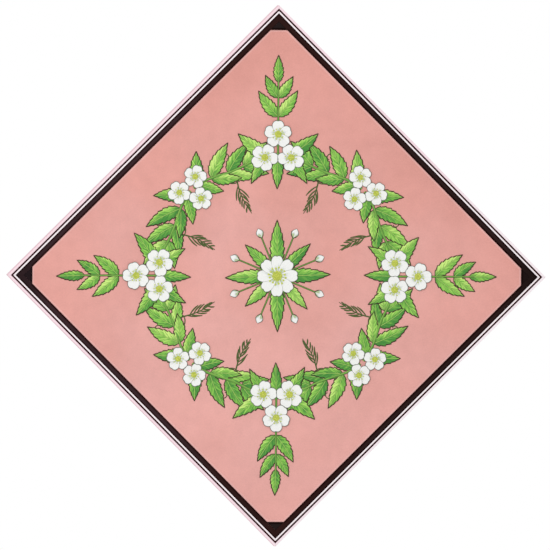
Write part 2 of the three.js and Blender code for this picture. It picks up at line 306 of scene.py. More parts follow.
def makeLights():
    # the camera sees a white world; a softer one and two area lamps light the object
    world = bpy.data.worlds.new("studio")
    bpy.context.scene.world = world
    world.use_nodes = True
    tree = world.node_tree
    tree.nodes.clear()
    lit, seen = [node(tree, "Background", {"Color": (1, 1, 1, 1), "Strength": strength}).outputs[0]
                 for strength in (light["world"], 1.0)]
    fromCamera = node(tree, "LightPath").outputs["Is Camera Ray"]
    mixed = node(tree, "MixShader", {0: fromCamera, 1: lit, 2: seen})
    node(tree, "OutputWorld", {"Surface": mixed.outputs[0]})
    for name in ("key", "fill"):
        data = bpy.data.lights.new(name, "AREA")
        data.energy, data.size = light[name + "Power"], light[name + "Size"]
        right, back, up = light[name + "Place"]
        spot = Vector((right + middleX, back, up + middleZ))
        aim = Vector((middleX, panelFront, middleZ)) - spot
        aimed(name, data, spot, aim.to_track_quat("-Z", "Y"))
    bpy.context.scene.view_settings.view_transform = "Standard"


def makeFloor():
    # one round face
    angle = np.linspace(0, 2 * np.pi, floor["facets"], endpoint=False)
    height = np.full(floor["facets"], middleZ - floor["below"])
    rim = np.stack([floor["radius"] * np.cos(angle), floor["radius"] * np.sin(angle), height], axis=1)
    material, _ = newMaterial("floorPaint")
    feed(material.node_tree.nodes["Principled BSDF"],
         {"Base Color": floor["colour"], "Roughness": floor["roughness"]})
    makeObject("floor", [material], rim, [np.arange(floor["facets"])[None, :]])


# Meshes from whole arrays

def makeObject(name, materials, points, faces, finish=None, layers=None):
    # faces is a list of arrays, each with one row of vertex numbers per face; finish numbers the
    # material of each face; a layer with two columns becomes a UV map, any other an attribute
    mesh = bpy.data.meshes.new(name)
    mesh.vertices.add(len(points))
    mesh.vertices.foreach_set("co", np.asarray(points, dtype=np.float32).ravel())
    loops = np.concatenate([rows.ravel() for rows in faces]).astype(np.int32)
    sizes = np.concatenate([np.full(len(rows), rows.shape[1]) for rows in faces])
    mesh.loops.add(len(loops))
    mesh.loops.foreach_set("vertex_index", loops)
    mesh.polygons.add(len(sizes))
    mesh.polygons.foreach_set("loop_start", (np.cumsum(sizes) - sizes).astype(np.int32))
    mesh.update(calc_edges=True)
    mesh.polygons.foreach_set("use_smooth", np.ones(len(sizes), dtype=bool))
    if finish is not None:
        mesh.polygons.foreach_set("material_index", finish.astype(np.int32))
    for key, values in (layers or {}).items():
        values = values.astype(np.float32)
        if values.ndim == 2:
            mesh.uv_layers.new(name=key).data.foreach_set("uv", values[loops].ravel())
        else:
            mesh.attributes.new(key, "FLOAT", "POINT").data.foreach_set("value", values)
    mesh.validate()
    mesh.set_sharp_from_angle(angle=creaseAngle)
    for material in materials:
        mesh.materials.append(material)
    return linked(name, mesh)


def mount(piece, solid):
    # each piece stays with the body and is shown in place of one solid
    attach(piece, "root")
    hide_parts(solid)


def place(across, up, proud):
    # picture frame in millimetres to points of the row frame in metres
    point = [middleX + across * mm, panelFront - proud * mm, middleZ + up * mm]
    return np.stack(point, axis=-1).reshape(-1, 3)


def rotated(across, up, turn):
    # turned round the middle, counter-clockwise
    return (across * math.cos(turn) - up * math.sin(turn),
            across * math.sin(turn) + up * math.cos(turn))


def polar(radius, angle):
    return np.array([radius * math.cos(angle * degree), radius * math.sin(angle * degree)])


def arc(steps):
    # pairs of sine and cosine from 0 to 90 degrees
    angle = np.linspace(0, np.pi / 2, steps)
    return list(zip(np.sin(angle), np.cos(angle)))


def ringQuads(rings, count):
    # quads that join each ring of count points to the next ring
    ring = np.arange(count)
    after = np.roll(ring, -1)
    step = np.arange(rings - 1)[:, None] * count
    quads = [step + ring, step + after, step + count + after, step + count + ring]
    return np.stack(quads, axis=-1).reshape(-1, 4)


def endCaps(rings, count):
    # one face over the first ring and one over the last
    ring = np.arange(count)
    return np.stack([ring[::-1], ring + (rings - 1) * count])


def slab(across, up, top, bottom, **layers):
    # closed plate: a grid at height top, the same grid at height bottom and a wall round both
    rows, columns = across.shape
    count = rows * columns
    upper, lower = place(across, up, top), place(across, up, np.full(across.shape, bottom))
    grid = np.arange(count).reshape(rows, columns)
    first = grid[:-1, :-1].ravel()
    face = np.stack([first, first + columns, first + columns + 1, first + 1], axis=1)
    border = np.concatenate([grid[:, 0], grid[-1, 1:], grid[-2::-1, -1], grid[0, -2:0:-1]])
    after = np.roll(border, -1)
    wall = np.stack([border, border + count, after + count, after], axis=1)
    part = {"points": np.concatenate([upper, lower]), "faces": [face, face[:, ::-1] + count, wall]}
    for key, value in layers.items():
        part[key] = np.concatenate([value.reshape(count, *value.shape[2:])] * 2)
    return part


def turned(profile, facets, spot):
    # profile of (radius, proud) turned round an axis that stands on the picture at the spot; the
    # first and last profile points lie on the axis and become single points
    radius, proud = np.array(profile, dtype=float).T
    angle = np.linspace(0, 2 * np.pi, facets, endpoint=False)
    across = spot[0] + radius[1:-1, None] * np.cos(angle)
    up = spot[1] + radius[1:-1, None] * np.sin(angle)
    wall = place(across, up, proud[1:-1, None] + 0 * across)
    ends = place(np.full(2, spot[0]), np.full(2, spot[1]), proud[[0, -1]])
    rings, count = len(profile) - 2, len(wall)
    first = np.arange(facets)
    last = first + (rings - 1) * facets
    tips = np.concatenate([
        np.stack([np.roll(first, -1), first, np.full(facets, count)], axis=1),
        np.stack([last, np.roll(last, -1), np.full(facets, count + 1)], axis=1),
    ])
    return {"points": np.concatenate([wall, ends]), "faces": [ringQuads(rings, facets), tips]}


def joined(parts, columns):
    # stacks the parts of one piece: points, faces shifted by the points before them, and layers,
    # which have the given columns and are 0 where a part says nothing
    total, points, faces, finish = 0, [], [], []
    layers = {key: [] for key in columns}
    for part in parts:
        count = len(part["points"])
        points.append(part["points"])
        for rows in part["faces"]:
            faces.append(rows + total)
            finish.append(np.full(len(rows), part["finish"]))
        for key, shape in columns.items():
            layers[key].append(np.broadcast_to(part.get(key, 0.0), (count, *shape)))
        total += count
    layers = {key: np.concatenate(value) for key, value in layers.items()}
    return {"points": np.concatenate(points), "faces": faces, "finish": np.concatenate(finish),
            "layers": layers}


# Body: edging, rails, inlays and corner pieces

body = {
    "half": 152.5, "edging": 1.8, "joint": 0.05, "railWidth": 7.375, "lap": 2.5, "outerLip": 1.25,
    "inlayWidth": 1.25, "inlayDepth": 1.0, "inlayCrown": 0.08, "cornerFlat": 196.0, "stations": 48,
    "edgingRound": 0.35, "railRound": 0.45, "lipRound": 0.15, "cornerRoll": 0.12,
    "waver": 0.0125, "waverDepth": 0.3,
}
edgeInner = body["half"] - body["edging"]
railOuter = edgeInner - body["joint"]
railInner = railOuter - body["railWidth"]
rebate = railInner + body["lap"]
grooveOuter = railOuter - body["outerLip"]
grooveInner = grooveOuter - body["inlayWidth"] - 2 * body["joint"]
cornerReach = body["cornerFlat"] * math.sqrt(2) - railInner


def roundedOutline(points, radii, steps=4):
    # each corner of a closed outline becomes a curve that is tangent to both sides: with t from 0
    # to 1, (1 - t) squared * start + 2 t (1 - t) * corner + t squared * end
    outline = []
    for i, radius in enumerate(radii):
        corner = np.array(points[i], dtype=float)
        if radius == 0:
            outline.append(corner)
            continue
        before = np.array(points[i - 1]) - corner
        after = np.array(points[(i + 1) % len(points)]) - corner
        start = corner + radius * before / np.linalg.norm(before)
        end = corner + radius * after / np.linalg.norm(after)
        for t in np.linspace(0, 1, steps + 1):
            outline.append((1 - t) ** 2 * start + 2 * t * (1 - t) * corner + t * t * end)
    return np.array(outline)


def sideStrip(name, side, outline, material):
    # outline of (distance from the middle, proud) carried along one side; at distance d the strip
    # reaches from -d to d, which makes the mitres; its face wavers by the sum of two sine waves
    distance, proud = outline.T
    along = np.linspace(-1, 1, body["stations"])[:, None] * (distance - body["joint"])
    waves = np.sin(along * 0.11 + side) + np.sin(along * 0.043 + 2 * side)
    height = proud + body["waver"] * waves * (proud > railProud - body["waverDepth"])
    outwards = distance + 0 * along
    across, up = rotated(along, outwards, (45 + 90 * side) * degree)
    shape = across.shape
    length = np.concatenate([[0], np.cumsum(np.hypot(*np.diff(outline, axis=0).T))])
    strip = np.stack([along, length + 0 * along], axis=-1).reshape(-1, 2) * mm
    return makeObject(name, [material], place(across, up, height),
                      [ringQuads(*shape), endCaps(*shape)],
                      layers={"strip": strip, "outer": (outwards - railInner).ravel()})


def edgingOutline():
    # a rectangle as deep as the body, most rounded on its outer edges
    half, r = body["half"], body["edgingRound"]
    points = [(edgeInner, backProud), (half, backProud), (half, railProud), (edgeInner, railProud)]
    return roundedOutline(points, [0, r, r, r * 0.4])


def railOutline():
    # a bar with a groove for the inlay in its face and a lap over the panel's edge
    grooveFloor = railProud - body["inlayDepth"]
    points = [
        (rebate, railBack), (railOuter, railBack), (railOuter, railProud), (grooveOuter, railProud),
        (grooveOuter, grooveFloor), (grooveInner, grooveFloor), (grooveInner, railProud),
        (railInner, railProud), (railInner, 0.0), (rebate, 0.0),
    ]
    lip, edge = body["lipRound"], body["railRound"]
    return roundedOutline(points, [0, 0, lip, lip, 0, 0, lip, edge, 0, 0])


def inlayOutline():
    # flat foot, and a face that is crowned like half a sine wave
    inner, outer = grooveInner + body["joint"], grooveOuter - body["joint"]
    foot = railProud - body["inlayDepth"]
    part = np.linspace(0, 1, 7)
    face = railProud + body["inlayCrown"] * (np.sin(np.pi * part) - 1)
    return np.array([(inner, foot), (outer, foot), *zip(outer + (inner - outer) * part, face)])


def cornerPiece(name, quarter, material):
    # three-cornered plate with its upper edges rolled over: the outline shrinks towards the
    # triangle's own middle while the height follows a quarter circle
    apex = (railInner - body["joint"]) * math.sqrt(2)
    flat, roll = body["cornerFlat"], body["cornerRoll"]
    outline = np.array([(flat - apex, flat), (apex - flat, flat), (0, apex)])
    inradius = (apex - flat) * (math.sqrt(2) - 1)
    heart = np.array([0, flat + inradius])
    sine, cosine = np.array(arc(5)).T
    shrink = np.concatenate([[0], roll * (1 - cosine)])
    height = np.concatenate([[0], railProud - roll + roll * sine])
    rings = heart + (outline - heart) * (1 - shrink / inradius)[:, None, None]
    across, up = rotated(rings[..., 0], rings[..., 1], quarter * math.pi / 2)
    shape = across.shape
    return makeObject(name, [material], place(across, up, height[:, None] + 0 * across),
                      [ringQuads(*shape), endCaps(*shape)],
                      layers={"strip": np.stack([across, up], axis=-1).reshape(-1, 2) * mm})


# In the looks a pair of numbers is the span over which something comes in, and a colour in
# brackets is a layer over the other colours, with its span, or None, and its share. Spans across
# the picture are in metres from its middle, a rail's own in millimetres from its inner edge
railLook = {
    # left and its edge colour are a painted sheen from the light on the left, right and its edge
    # colour painted shade
    "left": srgb(58, 40, 44), "right": srgb(43, 28, 27), "sheenLeftToShadeRight": (-0.12, 0.12),
    "warm": (srgb(46, 25, 23), (0.12, 0.17)), "lip": (srgb(52, 6, 12), (5.5, 5.9)),
    "sheenLeftEdge": srgb(38, 12, 12), "shadedRightEdge": srgb(25, 3, 2),
    "innerEdge": (2.0, 0.9), "outerEdge": (3.2, 4.2), "cornerEase": 1.5,
    "tips": (0.180, 0.2035), "tipShade": 0.4, "strokes": (60.0, 1400.0, 1.0), "gloss": (-0.6, 1.4),
}


def makeRailPaint():
    material, coords = newMaterial("railPaint")
    tone = brushed(coords, cloud=(40.0, 0.10), grain=(2400.0, 0.08))["Tone"]
    strip, outer = uvMap(coords, "strip"), attribute(coords, "outer")
    # darker along both edges of the band, but not where the inner edge meets a corner piece
    along, room = absolute(split(strip)[0]), railLook["cornerEase"]
    free = ease(along, (cornerReach + room) * mm, (cornerReach - room) * mm)
    inner = times(ease(outer, *railLook["innerEdge"]), free)
    edge = calc("MAXIMUM", inner, ease(outer, *railLook["outerEdge"]))
    # painted sheen and shade: greyer on the left, where the light comes from, and darker towards the
    # right, away from it, along the edges too; warmer towards the top and the bottom, and darker at
    # the left and right tips
    spot = split(coords)
    side = ease(spot[0], *railLook["sheenLeftToShadeRight"])
    tips = ease(absolute(spot[0]), *railLook["tips"])
    colour = blend(side, railLook["left"], railLook["right"])
    colour = layer(colour, absolute(less(spot[2], middleZ)), *railLook["warm"])
    colour = blend(edge, colour, blend(side, railLook["sheenLeftEdge"], railLook["shadedRightEdge"]))
    colour = scaleColour(colour, less(1.0, times(tips, railLook["tipShade"])))
    colour = layer(colour, outer, *railLook["lip"])
    strokes = noise(mapped(strip, Scale=railLook["strokes"]), 1.0, 3.0)
    return coat(material, scaleColour(colour, tone), strokes, ease(strokes, *railLook["gloss"]),
                depth=0.00003, specular=0.04)


cornerLook = {
    "left": srgb(32, 21, 25), "leftEnd": (-0.18, -0.05), "middle": srgb(35, 26, 26),
    "right": (srgb(29, 17, 17), (0.05, 0.18)),
    "line": srgb(17, 2, 1), "lineEdge": (0.0021, 0.0012), "leftLine": 0.3,
}


def makeCornerPaint():
    # a shade darker than the rails, darker again on the left and on the right, with a dark line
    # along the picture that is weaker on the left
    material, coords = newMaterial("cornerPaint")
    reach = split(uvMap(coords, "strip"))
    away = less(calc("MAXIMUM", absolute(reach[0]), absolute(reach[1])), body["cornerFlat"] * mm)
    across = split(coords)[0]
    notLeft = ease(across, *cornerLook["leftEnd"])
    colour = blend(notLeft, cornerLook["left"], cornerLook["middle"])
    colour = layer(colour, across, *cornerLook["right"])
    share = plus(times(notLeft, 1 - cornerLook["leftLine"]), cornerLook["leftLine"])
    line = times(ease(away, *cornerLook["lineEdge"]), share)
    colour = blend(line, colour, cornerLook["line"])
    return painted(material, coords, colour, None, cloud=(60.0, 0.10), grain=(2000.0, 0.08),
                   roughness=0.6, depth=0.00003, specular=0.05)


inlayWhite = srgb(255, 246, 249)


def makeInlayPaint():
    return painted(*newMaterial("inlayPaint"), inlayWhite, None, cloud=(30.0, 0.015),
                   grain=(2400.0, 0.012), roughness=0.6, depth=0.00004)


edgingLook = {
    "front": srgb(252, 227, 235), "pale": (srgb(255, 244, 249), (0.06, 0.17)),
    "paleBy": (1.0, -0.5),  # for the place across and up
    # wall: the side walls' deeper pink, painted shade
    "wall": srgb(255, 219, 228), "shadedWallFrom": (0.25, 0.02),  # millimetres inside the outer edge
    "pore": (srgb(244, 208, 218), None, 0.3), "woodScale": 900.0,
}


def makeEdgingPaint():
    # the front is paler towards the lower right, and the side walls are a deeper pink as painted
    # shade
    material, coords = newMaterial("edgingPaint")
    wood = useGroup(woodGroup, uvMap(coords, "strip"), {"Scale": edgingLook["woodScale"]})
    spot = split(coords)
    lowerRight = weighted(edgingLook["paleBy"], spot[0], less(spot[2], middleZ))
    shadedWallSpan = [body["half"] - railInner - inside for inside in edgingLook["shadedWallFrom"]]
    colour = layer(edgingLook["front"], lowerRight, *edgingLook["pale"])
    colour = layer(colour, attribute(coords, "outer"), edgingLook["wall"], shadedWallSpan)
    colour = layer(colour, wood["Pore"], *edgingLook["pore"])
    return painted(material, coords, colour, wood["Band"], cloud=(36.0, 0.012),
                   grain=(1800.0, 0.015), roughness=0.82, depth=0.00008, strength=0.6)


def makeBody():
    strips = [
        ("edgingStrip", edgingOutline(), makeEdgingPaint(), "edging", "edging_paint"),
        ("railBar", railOutline(), makeRailPaint(), "rail", "rail_paint"),
        ("inlayLine", inlayOutline(), makeInlayPaint(), "inlay", "inlay_white"),
    ]
    cornerPaint = makeCornerPaint()
    for k, side in enumerate(sides):
        for name, outline, paint, solid, slotName in strips:
            mount(sideStrip(f"{name}_{side}", k, outline, paint), f"{solid}_{side}")
    for k, corner in enumerate(corners):
        plate = cornerPiece(f"cornerPlate_{corner}", k, cornerPaint)
        mount(plate, f"corner_{corner}")
    print("body: edging, rails, inlays and corner pieces")


# Picture panel and back board keep their solids

groundLook = {
    "top": srgb(229, 163, 153), "bottom": (srgb(239, 181, 175), (0.0, 1.5)),
    "pinkBy": (-0.3, -3.0, 1.5),  # for the place across and up, and the drift
    "deep": (srgb(228, 158, 147), (0.03, 0.25), 0.45),
    "pale": (srgb(250, 200, 196), (0.0018, 0.0009), 0.45),
    "driftScale": 14.0, "driftRelief": 0.3,
}
plywoodLook = {
    "early": srgb(214, 178, 130), "late": (srgb(196, 155, 104), (0.35, 0.65)),
    "pore": (srgb(150, 108, 66), None, 0.4), "woodScale": 70.0,
}


def paintNode(solid, material):
    mesh = frame["nodes"][solid].data
    mesh.materials.clear()
    mesh.materials.append(material)


def makeGroundPaint():
    material, coords = newMaterial("groundPaint")
    drift = noise(coords, groundLook["driftScale"])
    centred = mapped(coords, Location=(-middleX, 0.0, -middleZ), Scale=(1.0, 0.0, 1.0))
    spot = split(centred)
    # warmer towards the top, pinker towards the bottom and a little towards the left
    pink = weighted(groundLook["pinkBy"], spot[0], spot[2], drift)
    colour = layer(groundLook["top"], pink, *groundLook["bottom"])
    # deeper away from the middle
    away = node(coords.id_data, "VectorMath", {0: centred}, operation="LENGTH").outputs["Value"]
    colour = layer(colour, away, *groundLook["deep"])
    # the paint is a touch paler along the rails and the corner pieces
    across, up = absolute(spot[0]), absolute(spot[2])
    toRail = less(times(plus(across, up), math.sqrt(0.5)), railInner * mm)
    toCorner = less(calc("MAXIMUM", across, up), body["cornerFlat"] * mm)
    inwards = times(calc("MAXIMUM", toRail, toCorner), -1.0)
    colour = layer(colour, inwards, *groundLook["pale"])
    relief = times(drift, groundLook["driftRelief"])
    return painted(material, coords, colour, relief, cloud=(20.0, 0.06), grain=(900.0, 0.04),
                   roughness=0.85, depth=0.00005, specular=0.15)


def makePlywood():
    # the face veneer's grain runs along one side of the square, 45 degrees to the upright
    material, coords = newMaterial("plywood")
    along = mapped(coords, Rotation=(0.0, 45 * degree, 0.0))
    wood = useGroup(woodGroup, along, {"Scale": plywoodLook["woodScale"]})
    colour = layer(plywoodLook["early"], wood["Band"], *plywoodLook["late"])
    colour = layer(colour, wood["Pore"], *plywoodLook["pore"])
    return coat(material, colour, wood["Band"], roughness=0.72, depth=0.0001, specular=0.25)


def makePanels():
    paintNode("picture_panel", makeGroundPaint())
    paintNode("back_board", makePlywood())
    print("picture panel and back board")


# Hanger, nails and bumpers on the back

hanger = {
    "plate": 0.9, "edge": 0.12, "steel": srgb(198, 196, 190), "drawing": (40.0, 900.0, 900.0),
    "dull": (srgb(166, 164, 158), (0.45, 0.7), 0.45), "dullScale": 160.0, "gloss": (-0.5, 2.1),
}
nail = {
    "head": 1.5, "headHeight": 0.7, "shank": 0.65, "length": 4.2, "point": 0.8, "facets": 32,
    "steel": srgb(176, 174, 168), "drawing": (600.0, 600.0, 600.0),
}
bumper = {
    "radius": 5.0, "height": 3.0, "face": 4.2, "fromMiddle": 178.0, "facets": 48,
    "rubber": srgb(46, 45, 47), "dust": (srgb(66, 64, 64), (0.5, 0.8)), "dustScale": 1600.0,
}


def makeSteel(name, look):
    # drawing is the scale of the fine lines along x, y and z
    material, coords = newMaterial(name)
    lines = noise(mapped(coords, Scale=look["drawing"]), 1.0, 3.0)
    colour = layer(look["steel"], noise(coords, hanger["dullScale"]), *hanger["dull"])
    return coat(material, colour, lines, ease(lines, *hanger["gloss"]), depth=0.00004,
                specular=0.5, metallic=1.0)


def makeRubber():
    material, coords = newMaterial("bumperRubber")
    dust = noise(coords, bumper["dustScale"], 3.0)
    colour = layer(bumper["rubber"], dust, *bumper["dust"])
    return coat(material, colour, dust, roughness=0.7, depth=0.00005, specular=0.5, strength=0.6)


def copyNode(name, solid, material, edge):
    # the solid's own shape with merged corners and a small rounding along its edges
    mesh = frame["nodes"][solid].data.copy()
    shape = bmesh.new()
    shape.from_mesh(mesh)
    bmesh.ops.remove_doubles(shape, verts=shape.verts, dist=1e-6)
    bmesh.ops.dissolve_limit(shape, angle_limit=0.5 * degree, verts=shape.verts, edges=shape.edges)
    shape.to_mesh(mesh)
    shape.free()
    mesh.materials.clear()
    mesh.materials.append(material)
    piece = linked(name, mesh)
    bevel = piece.modifiers.new("rounding", "BEVEL")
    bevel.width = edge * mm
    bevel.segments = 2
    bevel.limit_method = "ANGLE"
    bevel.angle_limit = creaseAngle
    return piece


def makeHardware():
    steel = makeSteel("hangerSteel", hanger)
    mount(copyNode("hangerStrip", "hanger", steel, hanger["edge"]), "hanger")
    # nail: domed head on the hanger's plate, then the shank and a blunt point in the board
    steel = makeSteel("nailSteel", nail)
    face, point = backProud - hanger["plate"], backProud + nail["length"]
    dome = [(nail["head"] * s, face - nail["headHeight"] * c) for s, c in arc(8)]
    shank = [(nail["shank"], face), (nail["shank"], point - nail["point"]), (0, point)]
    for side in ("left", "right"):
        low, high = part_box(f"hanger_nail_{side}")
        spot = ((low.x + high.x) / 2 - middleX) / mm, ((low.z + high.z) / 2 - middleZ) / mm
        shape = turned(dome + shank, nail["facets"], spot)
        piece = makeObject(f"hangerNail_{side}", [steel], **shape)
        mount(piece, f"hanger_nail_{side}")
    # bumper: flat face towards the wall with a quarter circle round it
    rubber = makeRubber()
    far, roll = backProud - bumper["height"], bumper["radius"] - bumper["face"]
    edge = [(bumper["face"] + roll * s, far + roll * (1 - c)) for s, c in arc(7)]
    profile = [(0, far)] + edge + [(bumper["radius"], backProud), (0, backProud)]
    for k, corner in enumerate(corners[1:]):
        shape = turned(profile, bumper["facets"], polar(bumper["fromMiddle"], 180 + 90 * k))
        piece = makeObject(f"bumperPad_{corner}", [rubber], **shape)
        mount(piece, f"bumper_{corner}")
    print("hanger, nails and bumpers")


# The painted relief: one wreath in four quarters, threes of blossoms, a star in the middle

reliefLayers = {"leafMap": (2,), "rim": (), "rib": (), "tint": (), "sun": ()}
sunAngle = 125.0  # where the painted light comes from
leafGreen, stemGreen, twigGreen, budWhite = range(4)  # materials of the wreath and the star
petalWhite, eyeYellow = range(2)  # materials of the blossoms


def scatter(number):
    # a value between 0 and 1 that looks random but is always the same for the same number
    value = math.sin(number * 12.9898) * 43758.5453
    return value - math.floor(value)


def ribbon(line, halfWidth, height, columns, finish, tint=0.5, rounding=0.5):
    # strip along a line: half width is given at each station, and the section is
    # height * (1 - rounding * v^4) with v from -1 to 1 across
    along = np.gradient(line, axis=0)
    along /= np.linalg.norm(along, axis=1, keepdims=True)
    normal = np.stack([-along[:, 1], along[:, 0]], axis=1)
    v = np.sin(np.linspace(-1, 1, columns) * np.pi / 2) + np.zeros((len(line), 1))
    offset = halfWidth[:, None] * v
    height = np.broadcast_to(height, len(line))[:, None]
    return {
        "across": line[:, :1] + normal[:, :1] * offset, "up": line[:, 1:] + normal[:, 1:] * offset,
        "top": height * (1 - rounding * v ** 4), "u": np.linspace(0, 1, len(line))[:, None] + 0 * v,
        "v": v, "offset": offset, "rim": (1 - np.abs(v)) * halfWidth[:, None],
        "sun": (normal @ polar(1, sunAngle))[:, None] * v, "tint": tint, "finish": finish,
    }


def closed(strip):
    # the strip with a flat foot on the panel; leafMap runs along it and across it
    part = slab(
        strip["across"], strip["up"], strip["top"], 0.0,
        leafMap=np.stack([strip["u"], (strip["v"] + 1) / 2], axis=-1),
        rim=strip["rim"], rib=np.abs(strip["offset"]), sun=strip["sun"],
    )
    return {**part, "tint": strip["tint"], "finish": strip["finish"]}


blade = {
    "teeth": 7, "toothDepth": 0.19, "swell": 1.12, "stalk": 0.9, "tip": 0.12, "rounding": 0.25,
    "rootHeight": 0.26, "tipHeight": 0.5, "veinLean": 0.3, "groove": 0.07, "grooveWidth": 0.4,
    "puff": 0.06, "sway": 6, "lengthSpread": 0.12,
}
leafCount = 0


def leaf(root, direction, length, width, bend=0.0, lift=0.0):
    # ovate blade: half width = width/2 * swell * sin(pi u^0.78)^0.8 * (1 - u/4), cut back at each
    # tooth by a saw wave; the midrib bends with u squared; the blade rises from root to tip, so
    # that each tip lies over the root of the next leaf, and swells between its side veins
    global leafCount
    leafCount += 1
    heading = (direction + blade["sway"] * (scatter(leafCount) - 0.5)) * degree
    reach = length * (1 + blade["lengthSpread"] * (scatter(leafCount + 49) - 0.5))
    u = np.linspace(0, 1, 57)
    line = np.stack(rotated(reach * u, bend * reach * u * u, heading), axis=1) + root
    swell = blade["swell"] * np.sin(np.pi * u ** 0.78) ** 0.8 * (1 - 0.25 * u)
    saw = 1 - blade["toothDepth"] * (1 - (blade["teeth"] * u) % 1.0)
    least = np.where(u < 0.5, blade["stalk"] * (1 - u), blade["tip"])
    rise = blade["rootHeight"] + (blade["tipHeight"] - blade["rootHeight"]) * u ** 0.8
    strip = ribbon(line, np.maximum(width / 2 * swell * saw, least), lift + rise, columns=15,
                   finish=leafGreen, tint=scatter(leafCount + 7), rounding=blade["rounding"])
    u, v = strip["u"], strip["v"]
    vein = blade["teeth"] * (u - blade["veinLean"] * np.abs(v))
    puff = np.abs(np.sin(np.pi * vein)) * (1 - v ** 4) * np.minimum(1, 4 * u * (1 - u))
    groove = np.exp(-(strip["offset"] / blade["grooveWidth"]) ** 2)
    strip["top"] = strip["top"] - blade["groove"] * groove - blade["puff"] * (1 - puff)
    return closed(strip)


wreath = {
    "radius": 94.0, "wave": 3.0, "waves": 8, "halfSpan": 44.0, "stemWidth": 2.4, "stemHeight": 0.34,
    "stemTaper": 0.85, "sprigReach": 158.0, "sprigWidth": 1.8, "sprayAt": 22.5,
    "twigHeight": 0.26, "twigWidth": 1.0, "curl": 5.0, "otherSideLift": 0.7,
    # leaves on both sides of the middle of a quarter: angle from it, turn, length, width, bend, lift
    "leaves": [
        (41, -32, 27, 12.5, -0.12, -0.04), (41, 210, 22, 11, 0.12, -0.04),
        (34.5, -52, 30, 12.5, -0.14, 0), (34.5, -130, 25, 11, 0.14, 0),
        (26, -52, 28.5, 12.5, -0.14, 0), (26, -130, 23.5, 11, 0.14, 0),
        (17.5, -52, 27, 12.5, -0.14, 0), (17.5, -130, 22, 11, 0.14, 0),
        (5, 57, 30, 13, -0.15, 0.2), (4, 132, 28, 11.5, 0.15, 0.2),
    ],
    # leaves beside the sprig: distance from the picture's middle, turn, length, width, bend
    "sprigLeaves": [(127, 44, 27, 11.5, -0.14), (142, 40, 22, 10, -0.14)],
    "sprigTip": (154, 22, 9.5), "innerLeaf": (29, 11),
    # curling shoots: angle from the middle, turn, length and the hand that they curl to
    "twigs": [(30.5, -14, 36, -1), (30.5, -164, 32, 1)],
}
# feathery sprays that point from the ring to the middle, one in each gap between the threes
wisp = {
    "from": 88.0, "length": 34.0, "bow": 2.4, "width": 1.3, "height": 0.2, "shoots": 12,
    "shoot": 11.0, "shorter": 0.055, "lean": 38.0, "bend": 26, "firstAt": 0.3, "span": 0.62,
    "lengthSpread": 0.2, "leanSpread": 8,
}


def ringPoint(angle):
    # the ring's stem: its radius swings by a cosine wave
    swing = wreath["wave"] * math.cos(wreath["waves"] * angle * degree)
    return polar(wreath["radius"] + swing, angle)


def stem(points, width):
    # round-backed stalk, thinning a little and evenly towards its end
    halfWidth = np.linspace(1, wreath["stemTaper"], len(points)) * width / 2
    height = wreath["stemHeight"]
    return closed(ribbon(np.array(points), halfWidth, height, columns=9, finish=stemGreen))


def straight(start, end, steps=24):
    # evenly spaced points from start to end
    return start + np.linspace(0, 1, steps)[:, None] * (end - start)


def walked(start, step, heading):
    # the line that goes one step at a time, each in its own heading
    moves = np.stack([step * np.cos(heading), step * np.sin(heading)], axis=1)
    return start + np.cumsum(moves, axis=0) - moves[0]


def shoot(line, halfWidth, height):
    return closed(ribbon(line, halfWidth, height, columns=5, finish=twigGreen))


def curl(start, direction, length, hand):
    # thin shoot whose heading turns ever faster, with the square of the distance
    u = np.linspace(0, 1, 49)
    heading = direction * degree + hand * wreath["curl"] * u ** 2
    line = walked(start, length / (len(u) - 1) * (1.25 - 0.9 * u), heading)
    return shoot(line, wreath["twigWidth"] / 2 * (1.1 - 0.5 * u), wreath["twigHeight"])


def spray(middle, hand):
    # main shoot, bowed like half a sine wave, with side shoots left and right in turn, each bent
    # forward and shorter than the last
    u, t = np.linspace(0, 1, 33), np.linspace(0, 1, 17)
    bow = wisp["bow"] * hand * np.sin(np.pi * u)
    line = polar(wisp["from"], middle) + u[:, None] * polar(wisp["length"], middle + 180)
    line = line + bow[:, None] * polar(1, middle + 90)
    parts = [shoot(line, wisp["width"] / 2 * (1 - 0.6 * u), wisp["height"])]
    halfWidth = wisp["width"] / 2 * (0.55 + 0.6 * np.sin(np.pi * t ** 1.4)) * (1 - 0.3 * t)
    for k in range(wisp["shoots"]):
        side = 1 if k % 2 else -1
        root = line[int((len(u) - 1) * (wisp["firstAt"] + wisp["span"] * k / wisp["shoots"]))]
        spread = 1 + wisp["lengthSpread"] * (scatter(middle + k) - 0.5)
        reach = wisp["shoot"] * (1 - wisp["shorter"] * k) * spread
        lean = wisp["lean"] + wisp["leanSpread"] * (scatter(middle + 3 * k) - 0.5)
        heading = (middle + 180 + side * (lean - wisp["bend"] * t)) * degree
        parts.append(shoot(walked(root, reach / (len(t) - 1), heading), halfWidth, wisp["height"]))
    return parts


